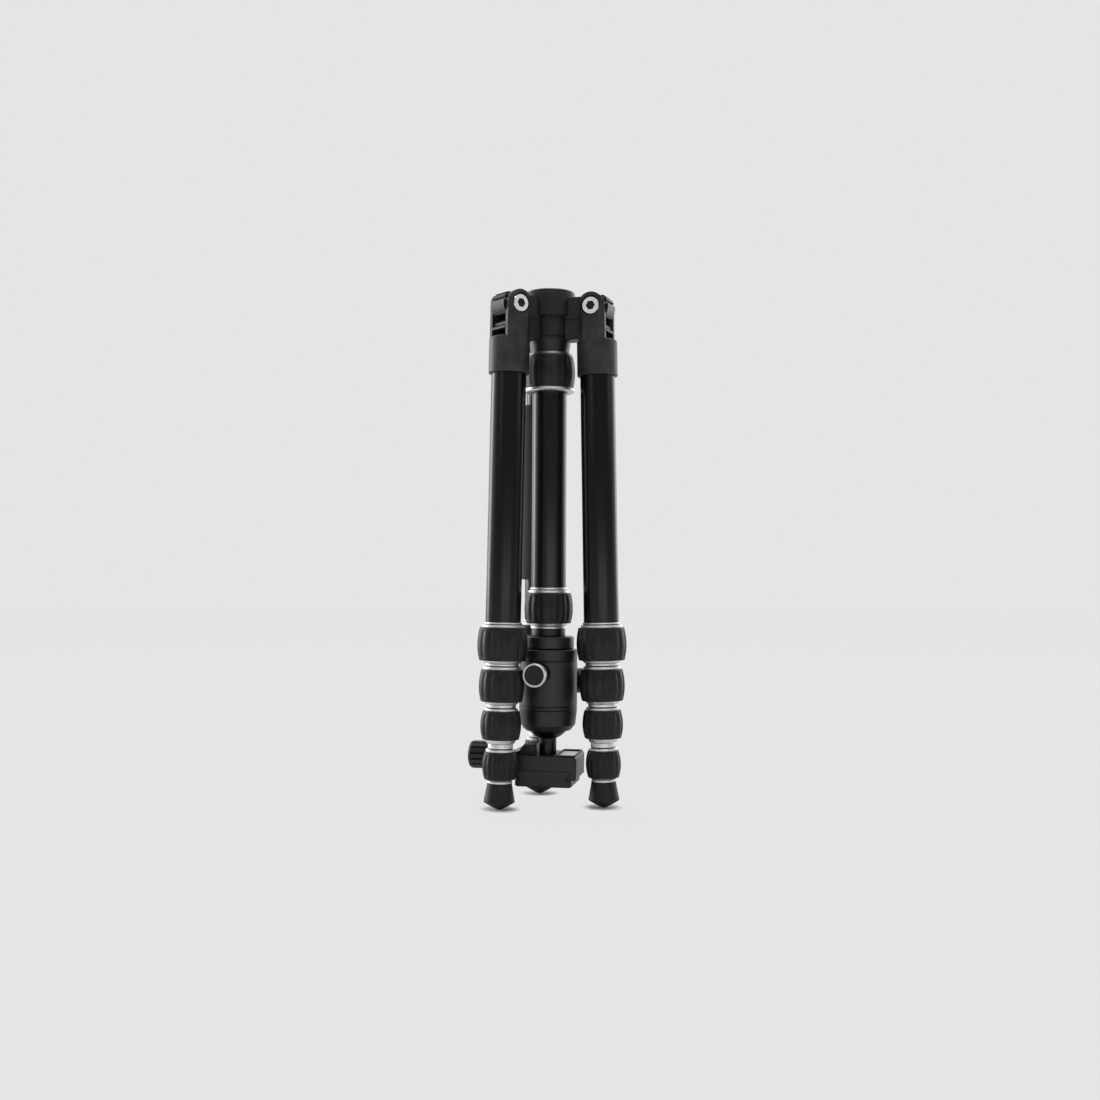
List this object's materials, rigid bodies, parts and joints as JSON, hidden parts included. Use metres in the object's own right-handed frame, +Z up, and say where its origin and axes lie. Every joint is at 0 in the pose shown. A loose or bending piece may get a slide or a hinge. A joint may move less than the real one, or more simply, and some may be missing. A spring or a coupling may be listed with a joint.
{
  "type": "folding tripod",
  "caption": "Reverse-folding travel tripod with twist-lock legs, a telescoping centre column and a ball head, shown folded and standing on its feet.",
  "frame": {"origin": "on the floor, in the middle of the folded tripod's bounds; the column's axis is 2.4 mm to +X and 10 mm to -Y of it", "axes": "+Z up along the centre column; the leg with the foam grip stands towards +Y; -Y is the front"},
  "size_m": [0.1115, 0.0976, 0.3704],
  "materials": {
    "black_casting": "satin black coat on cast and turned aluminium",
    "black_tube": "black anodised tube, bare polished rings",
    "lock_rubber": "fluted rubber over a turned nut",
    "foot_rubber": "smooth hard rubber",
    "foam": "closed-cell foam, matt",
    "black_plastic": "moulded, matt",
    "pad_rubber": "thin pad",
    "chrome": "polished",
    "screw_steel": "plain steel"
  },
  "bodies": {
    "hub": {"spider": "black_casting", "hub_liner": "black_plastic", "pivot_bolts": "chrome", "pivot_washers": "black_plastic"},
    "rear_leg_section_1": {"rear_leg_yoke": "black_casting", "rear_leg_tube_1": "black_tube", "foam_grip": "foam"},
    "rear_leg_angle_pawl": {"rear_leg_angle_pawl": "black_plastic"},
    "rear_leg_section_2": {"rear_leg_tube_2": "black_tube"},
    "rear_leg_section_3": {"rear_leg_tube_3": "black_tube"},
    "rear_leg_section_4": {"rear_leg_tube_4": "black_tube"},
    "rear_leg_section_5": {"rear_leg_tube_5": "black_tube", "rear_leg_foot": "foot_rubber"},
    "rear_leg_lock_1": {"rear_leg_lock_1": "lock_rubber"},
    "rear_leg_lock_2": {"rear_leg_lock_2": "lock_rubber"},
    "rear_leg_lock_3": {"rear_leg_lock_3": "lock_rubber"},
    "rear_leg_lock_4": {"rear_leg_lock_4": "lock_rubber"},
    "left_leg_section_1": {"left_leg_yoke": "black_casting", "left_leg_tube_1": "black_tube"},
    "left_leg_angle_pawl": {"left_leg_angle_pawl": "black_plastic"},
    "left_leg_section_2": {"left_leg_tube_2": "black_tube"},
    "left_leg_section_3": {"left_leg_tube_3": "black_tube"},
    "left_leg_section_4": {"left_leg_tube_4": "black_tube"},
    "left_leg_section_5": {"left_leg_tube_5": "black_tube", "left_leg_foot": "foot_rubber"},
    "left_leg_lock_1": {"left_leg_lock_1": "lock_rubber"},
    "left_leg_lock_2": {"left_leg_lock_2": "lock_rubber"},
    "left_leg_lock_3": {"left_leg_lock_3": "lock_rubber"},
    "left_leg_lock_4": {"left_leg_lock_4": "lock_rubber"},
    "right_leg_section_1": {"right_leg_yoke": "black_casting", "right_leg_tube_1": "black_tube"},
    "right_leg_angle_pawl": {"right_leg_angle_pawl": "black_plastic"},
    "right_leg_section_2": {"right_leg_tube_2": "black_tube"},
    "right_leg_section_3": {"right_leg_tube_3": "black_tube"},
    "right_leg_section_4": {"right_leg_tube_4": "black_tube"},
    "right_leg_section_5": {"right_leg_tube_5": "black_tube", "right_leg_foot": "foot_rubber"},
    "right_leg_lock_1": {"right_leg_lock_1": "lock_rubber"},
    "right_leg_lock_2": {"right_leg_lock_2": "lock_rubber"},
    "right_leg_lock_3": {"right_leg_lock_3": "lock_rubber"},
    "right_leg_lock_4": {"right_leg_lock_4": "lock_rubber"},
    "column_lock": {"column_lock": "lock_rubber"},
    "column_tube": {"column_tube": "black_tube"},
    "column_end_cap": {"column_end_cap": "black_casting"},
    "inner_column_lock": {"inner_column_lock": "lock_rubber"},
    "inner_column": {"inner_column": "black_tube", "head_mount": "black_casting", "head_base": "black_casting"},
    "head_housing": {"head_housing": "black_casting"},
    "pan_lock_knob": {"pan_lock_knob": "black_casting"},
    "ball_lock_knob": {"ball_lock_knob": "black_plastic"},
    "ball_seat": {"ball_seat": "black_plastic"},
    "ball": {"ball": "black_tube"},
    "clamp_body": {"clamp_body": "black_casting"},
    "clamp_jaw": {"clamp_jaw": "black_casting"},
    "clamp_knob": {"clamp_knob": "black_plastic"},
    "plate": {"plate": "black_casting", "plate_pad": "pad_rubber"},
    "camera_screw": {"camera_screw": "screw_steel"}
  },
  "joints": [
    {"name": "rear_leg_fold", "type": "hinge", "parent": "hub", "child": "rear_leg_section_1", "pos_m": [0.0024, 0.026, 0.35643], "axis": [1, 0, 0], "range_deg": [0, 155]},
    {"name": "rear_leg_pawl_press", "type": "slide", "parent": "rear_leg_section_1", "child": "rear_leg_angle_pawl", "axis": [0, 0.0204, -0.9998], "range_m": [0, 0.004], "stiffness_N_per_m": 300},
    {"name": "rear_leg_slide_2", "type": "slide", "parent": "rear_leg_section_1", "child": "rear_leg_section_2", "axis": [0, 0.0204, -0.9998], "range_m": [0, 0.165]},
    {"name": "rear_leg_slide_3", "type": "slide", "parent": "rear_leg_section_2", "child": "rear_leg_section_3", "axis": [0, 0.0204, -0.9998], "range_m": [0, 0.19]},
    {"name": "rear_leg_slide_4", "type": "slide", "parent": "rear_leg_section_3", "child": "rear_leg_section_4", "axis": [0, 0.0204, -0.9998], "range_m": [0, 0.215]},
    {"name": "rear_leg_slide_5", "type": "slide", "parent": "rear_leg_section_4", "child": "rear_leg_section_5", "axis": [0, 0.0204, -0.9998], "range_m": [0, 0.24]},
    {"name": "rear_leg_lock_turn_1", "type": "hinge", "parent": "rear_leg_section_1", "child": "rear_leg_lock_1", "pos_m": [0.0024, 0.03328, 0], "axis": [0, -0.0204, 0.9998], "range_deg": [0, 120]},
    {"name": "rear_leg_lock_turn_2", "type": "hinge", "parent": "rear_leg_section_2", "child": "rear_leg_lock_2", "pos_m": [0.0024, 0.03328, 0], "axis": [0, -0.0204, 0.9998], "range_deg": [0, 120]},
    {"name": "rear_leg_lock_turn_3", "type": "hinge", "parent": "rear_leg_section_3", "child": "rear_leg_lock_3", "pos_m": [0.0024, 0.03328, 0], "axis": [0, -0.0204, 0.9998], "range_deg": [0, 120]},
    {"name": "rear_leg_lock_turn_4", "type": "hinge", "parent": "rear_leg_section_4", "child": "rear_leg_lock_4", "pos_m": [0.0024, 0.03328, 0], "axis": [0, -0.0204, 0.9998], "range_deg": [0, 120]},
    {"name": "left_leg_fold", "type": "hinge", "parent": "hub", "child": "left_leg_section_1", "pos_m": [-0.02878, -0.028, 0.35643], "axis": [-0.5, 0.866, 0], "range_deg": [0, 155]},
    {"name": "left_leg_pawl_press", "type": "slide", "parent": "left_leg_section_1", "child": "left_leg_angle_pawl", "axis": [-0.0177, -0.0102, -0.9998], "range_m": [0, 0.004], "stiffness_N_per_m": 300},
    {"name": "left_leg_slide_2", "type": "slide", "parent": "left_leg_section_1", "child": "left_leg_section_2", "axis": [-0.0177, -0.0102, -0.9998], "range_m": [0, 0.165]},
    {"name": "left_leg_slide_3", "type": "slide", "parent": "left_leg_section_2", "child": "left_leg_section_3", "axis": [-0.0177, -0.0102, -0.9998], "range_m": [0, 0.19]},
    {"name": "left_leg_slide_4", "type": "slide", "parent": "left_leg_section_3", "child": "left_leg_section_4", "axis": [-0.0177, -0.0102, -0.9998], "range_m": [0, 0.215]},
    {"name": "left_leg_slide_5", "type": "slide", "parent": "left_leg_section_4", "child": "left_leg_section_5", "axis": [-0.0177, -0.0102, -0.9998], "range_m": [0, 0.24]},
    {"name": "left_leg_lock_turn_1", "type": "hinge", "parent": "left_leg_section_1", "child": "left_leg_lock_1", "pos_m": [-0.03508, -0.03164, 0], "axis": [0.0177, 0.0102, 0.9998], "range_deg": [0, 120]},
    {"name": "left_leg_lock_turn_2", "type": "hinge", "parent": "left_leg_section_2", "child": "left_leg_lock_2", "pos_m": [-0.03508, -0.03164, 0], "axis": [0.0177, 0.0102, 0.9998], "range_deg": [0, 120]},
    {"name": "left_leg_lock_turn_3", "type": "hinge", "parent": "left_leg_section_3", "child": "left_leg_lock_3", "pos_m": [-0.03508, -0.03164, 0], "axis": [0.0177, 0.0102, 0.9998], "range_deg": [0, 120]},
    {"name": "left_leg_lock_turn_4", "type": "hinge", "parent": "left_leg_section_4", "child": "left_leg_lock_4", "pos_m": [-0.03508, -0.03164, 0], "axis": [0.0177, 0.0102, 0.9998], "range_deg": [0, 120]},
    {"name": "right_leg_fold", "type": "hinge", "parent": "hub", "child": "right_leg_section_1", "pos_m": [0.03358, -0.028, 0.35643], "axis": [-0.5, -0.866, 0], "range_deg": [0, 155]},
    {"name": "right_leg_pawl_press", "type": "slide", "parent": "right_leg_section_1", "child": "right_leg_angle_pawl", "axis": [0.0177, -0.0102, -0.9998], "range_m": [0, 0.004], "stiffness_N_per_m": 300},
    {"name": "right_leg_slide_2", "type": "slide", "parent": "right_leg_section_1", "child": "right_leg_section_2", "axis": [0.0177, -0.0102, -0.9998], "range_m": [0, 0.165]},
    {"name": "right_leg_slide_3", "type": "slide", "parent": "right_leg_section_2", "child": "right_leg_section_3", "axis": [0.0177, -0.0102, -0.9998], "range_m": [0, 0.19]},
    {"name": "right_leg_slide_4", "type": "slide", "parent": "right_leg_section_3", "child": "right_leg_section_4", "axis": [0.0177, -0.0102, -0.9998], "range_m": [0, 0.215]},
    {"name": "right_leg_slide_5", "type": "slide", "parent": "right_leg_section_4", "child": "right_leg_section_5", "axis": [0.0177, -0.0102, -0.9998], "range_m": [0, 0.24]},
    {"name": "right_leg_lock_turn_1", "type": "hinge", "parent": "right_leg_section_1", "child": "right_leg_lock_1", "pos_m": [0.03988, -0.03164, 0], "axis": [-0.0177, 0.0102, 0.9998], "range_deg": [0, 120]},
    {"name": "right_leg_lock_turn_2", "type": "hinge", "parent": "right_leg_section_2", "child": "right_leg_lock_2", "pos_m": [0.03988, -0.03164, 0], "axis": [-0.0177, 0.0102, 0.9998], "range_deg": [0, 120]},
    {"name": "right_leg_lock_turn_3", "type": "hinge", "parent": "right_leg_section_3", "child": "right_leg_lock_3", "pos_m": [0.03988, -0.03164, 0], "axis": [-0.0177, 0.0102, 0.9998], "range_deg": [0, 120]},
    {"name": "right_leg_lock_turn_4", "type": "hinge", "parent": "right_leg_section_4", "child": "right_leg_lock_4", "pos_m": [0.03988, -0.03164, 0], "axis": [-0.0177, 0.0102, 0.9998], "range_deg": [0, 120]},
    {"name": "column_lock_turn", "type": "hinge", "parent": "hub", "child": "column_lock", "pos_m": [0.0024, -0.01, 0.31], "axis": [0, 0, 1], "range_deg": [0, 120]},
    {"name": "column_draw", "type": "slide", "parent": "hub", "child": "column_tube", "axis": [0, 0, -1], "range_m": [0, 0.04]},
    {"name": "end_cap_lift", "type": "slide", "parent": "hub", "child": "column_end_cap", "axis": [0, 0, 1], "range_m": [0, 0.02]},
    {"name": "inner_column_lock_turn", "type": "hinge", "parent": "column_tube", "child": "inner_column_lock", "pos_m": [0.0024, -0.01, 0.14], "axis": [0, 0, 1], "range_deg": [0, 120]},
    {"name": "inner_column_slide", "type": "slide", "parent": "column_tube", "child": "inner_column", "axis": [0, 0, -1], "range_m": [0, 0.155]},
    {"name": "head_pan", "type": "hinge", "parent": "inner_column", "child": "head_housing", "pos_m": [0.0024, -0.01, 0.111], "axis": [0, 0, 1], "range_deg": [0, 16]},
    {"name": "pan_lock_turn", "type": "hinge", "parent": "head_housing", "child": "pan_lock_knob", "pos_m": [0.0024, -0.01, 0.0946], "axis": [-0.3907, -0.9205, 0], "range_deg": [0, 360]},
    {"name": "ball_lock_turn", "type": "hinge", "parent": "head_housing", "child": "ball_lock_knob", "pos_m": [0.0024, -0.01, 0.087], "axis": [0.866, 0.5, 0], "range_deg": [0, 360]},
    {"name": "ball_tilt_back", "type": "hinge", "parent": "head_housing", "child": "ball_seat", "pos_m": [0.0024, -0.01, 0.063], "axis": [1, 0, 0], "range_deg": [0, 12]},
    {"name": "ball_tilt_side", "type": "hinge", "parent": "ball_seat", "child": "ball", "pos_m": [0.0024, -0.01, 0.063], "axis": [0, -1, 0], "range_deg": [0, 6]},
    {"name": "ball_spin", "type": "hinge", "parent": "ball", "child": "clamp_body", "pos_m": [0.0024, -0.01, 0.036], "axis": [0, 0, 1], "range_deg": [-38, 16]},
    {"name": "jaw_open", "type": "slide", "parent": "clamp_body", "child": "clamp_jaw", "axis": [-0.9455, 0.3256, 0], "range_m": [0, 0.004]},
    {"name": "clamp_knob_turn", "type": "hinge", "parent": "clamp_jaw", "child": "clamp_knob", "pos_m": [0.0024, -0.01, 0.0334], "axis": [-0.9455, 0.3256, 0], "range_deg": [0, 1440]},
    {"name": "plate_slide", "type": "slide", "parent": "clamp_body", "child": "plate", "axis": [0.3256, 0.9455, 0], "range_m": [-0.002, 0.008]},
    {"name": "camera_screw_turn", "type": "hinge", "parent": "plate", "child": "camera_screw", "pos_m": [0.0024, -0.01, 0.02], "axis": [0, 0, 1], "continuous": true}
  ],
  "couplings": [
    {"joint": "clamp_knob_turn", "follows": "jaw_open", "rad_per_m": 6283.2}
  ]
}
